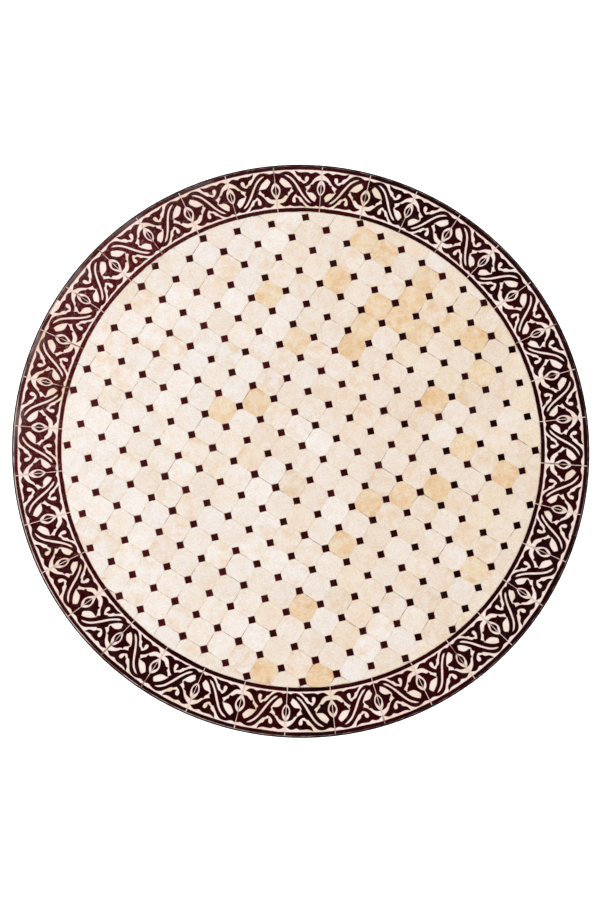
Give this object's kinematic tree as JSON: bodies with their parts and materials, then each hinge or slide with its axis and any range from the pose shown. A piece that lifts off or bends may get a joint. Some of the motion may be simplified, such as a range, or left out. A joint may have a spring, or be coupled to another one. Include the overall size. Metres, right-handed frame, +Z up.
{
  "type": "round mosaic table",
  "caption": "Round dining table: a loose tiled mosaic top with a carved leaf border on a folding wrought-iron cross stand with levelling feet.",
  "frame": {"origin": "on the floor under the middle of the table", "axes": "+Z up, frame A's legs along X, frame B's legs along Y when the stand is open"},
  "size_m": [1.1998, 1.2, 0.75],
  "materials": {
    "frieze_glaze": "gloss",
    "cream_glaze": "gloss",
    "dark_glaze": "gloss",
    "cement": "matte",
    "bare_iron": "matte",
    "rim_iron": "satin",
    "wrought_iron": "satin",
    "washer_brass": "satin",
    "pad_rubber": "matte",
    "glide_plastic": "matte",
    "stud_steel": "satin"
  },
  "bodies": {
    "frame_a": {"leg_east": "wrought_iron", "leg_west": "wrought_iron", "scroll_east": "wrought_iron", "scroll_west": "wrought_iron", "collars_a": "wrought_iron", "top_arm_a": "wrought_iron", "waist_hub_a": "wrought_iron", "stretcher_a": "wrought_iron", "pivot_rod": "wrought_iron", "washers": "washer_brass", "rod_rings": "wrought_iron", "finial": "wrought_iron", "top_pads_a": "pad_rubber", "foot_bushes_a": "wrought_iron"},
    "frame_b": {"leg_north": "wrought_iron", "leg_south": "wrought_iron", "scroll_north": "wrought_iron", "scroll_south": "wrought_iron", "collars_b": "wrought_iron", "top_arm_b": "wrought_iron", "waist_hub_b": "wrought_iron", "stretcher_b": "wrought_iron", "top_pads_b": "pad_rubber", "foot_bushes_b": "wrought_iron"},
    "top": {"frieze_tiles": "frieze_glaze", "octagon_tiles": "cream_glaze", "cabochon_tiles": "dark_glaze", "mortar_bed": "cement", "cross_bars_lower": "bare_iron", "cross_bars_upper": "bare_iron", "cement_slab": "cement", "rim_hoop": "rim_iron"},
    "glide_east": {"foot_glide_east": "glide_plastic"},
    "stud_east": {"foot_stud_east": "stud_steel"},
    "glide_west": {"foot_glide_west": "glide_plastic"},
    "stud_west": {"foot_stud_west": "stud_steel"},
    "glide_north": {"foot_glide_north": "glide_plastic"},
    "stud_north": {"foot_stud_north": "stud_steel"},
    "glide_south": {"foot_glide_south": "glide_plastic"},
    "stud_south": {"foot_stud_south": "stud_steel"}
  },
  "joints": [
    {"name": "top_lift", "type": "slide", "parent": "frame_a", "child": "top", "axis": [0, 0, 1], "range_m": [0, 0.25]},
    {"name": "stand_fold", "type": "hinge", "parent": "frame_a", "child": "frame_b", "pos_m": [0, 0, 0.365], "axis": [0, 0, 1], "range_deg": [0, 72]},
    {"name": "foot_travel_east", "type": "slide", "parent": "frame_a", "child": "glide_east", "axis": [0, 0, -1], "range_m": [0, 0.012]},
    {"name": "foot_turn_east", "type": "hinge", "parent": "glide_east", "child": "stud_east", "pos_m": [0.38566, 0, 0.02], "axis": [0, 0, -1], "range_deg": [0, 2881]},
    {"name": "foot_travel_west", "type": "slide", "parent": "frame_a", "child": "glide_west", "axis": [0, 0, -1], "range_m": [0, 0.012]},
    {"name": "foot_turn_west", "type": "hinge", "parent": "glide_west", "child": "stud_west", "pos_m": [-0.38566, 0, 0.02], "axis": [0, 0, -1], "range_deg": [0, 2881]},
    {"name": "foot_travel_north", "type": "slide", "parent": "frame_b", "child": "glide_north", "axis": [0, 0, -1], "range_m": [0, 0.012]},
    {"name": "foot_turn_north", "type": "hinge", "parent": "glide_north", "child": "stud_north", "pos_m": [0, 0.38566, 0.02], "axis": [0, 0, -1], "range_deg": [0, 2881]},
    {"name": "foot_travel_south", "type": "slide", "parent": "frame_b", "child": "glide_south", "axis": [0, 0, -1], "range_m": [0, 0.012]},
    {"name": "foot_turn_south", "type": "hinge", "parent": "glide_south", "child": "stud_south", "pos_m": [0, -0.38566, 0.02], "axis": [0, 0, -1], "range_deg": [0, 2881]}
  ],
  "couplings": [
    {"joint": "foot_turn_east", "follows": "foot_travel_east", "rad_per_m": 4188.8},
    {"joint": "foot_turn_west", "follows": "foot_travel_west", "rad_per_m": 4188.8},
    {"joint": "foot_turn_north", "follows": "foot_travel_north", "rad_per_m": 4188.8},
    {"joint": "foot_turn_south", "follows": "foot_travel_south", "rad_per_m": 4188.8}
  ]
}
